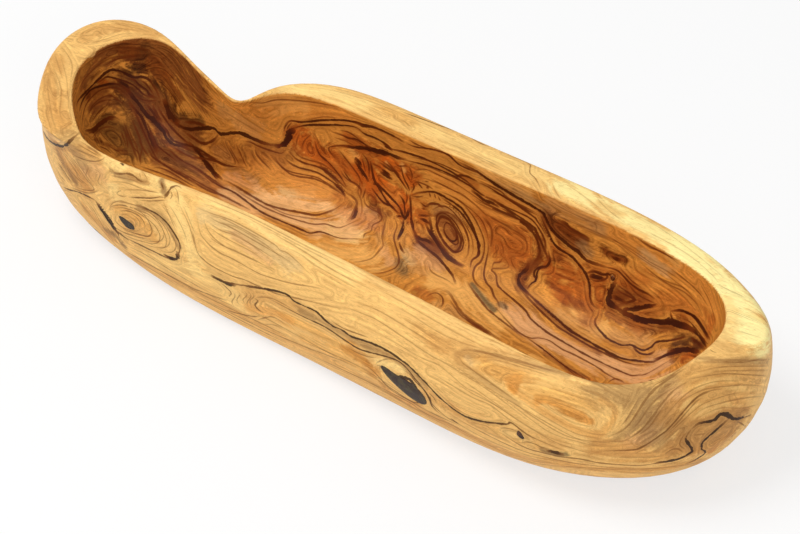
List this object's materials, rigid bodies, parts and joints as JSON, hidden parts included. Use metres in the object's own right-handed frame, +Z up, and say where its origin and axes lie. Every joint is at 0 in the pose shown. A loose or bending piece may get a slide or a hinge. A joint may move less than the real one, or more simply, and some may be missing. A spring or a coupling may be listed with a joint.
{
  "type": "dough bowl",
  "caption": "Long free-form dough bowl carved from solid figured olive wood, with a flat sawn rim, a waisted side, a rounded log flank, a flat base and dark knots held in the wood",
  "frame": {"origin": "under the middle of the bowl, on the flat base that it stands on", "axes": "+X along the bowl to its blunt end, +Y across it to the side with the waist, +Z up out of the hollow"},
  "size_m": [0.4197, 0.142, 0.073],
  "materials": {
    "bowl_body": "satin oiled",
    "large_knot": "satin oiled",
    "ringed_knot_heart": "satin oiled",
    "eye_knot": "satin oiled",
    "pin_knot": "satin oiled"
  },
  "bodies": {
    "root": {"bowl_body": "bowl_body", "large_knot": "large_knot", "ringed_knot_heart": "ringed_knot_heart", "eye_knot": "eye_knot", "pin_knot": "pin_knot"}
  },
  "joints": []
}
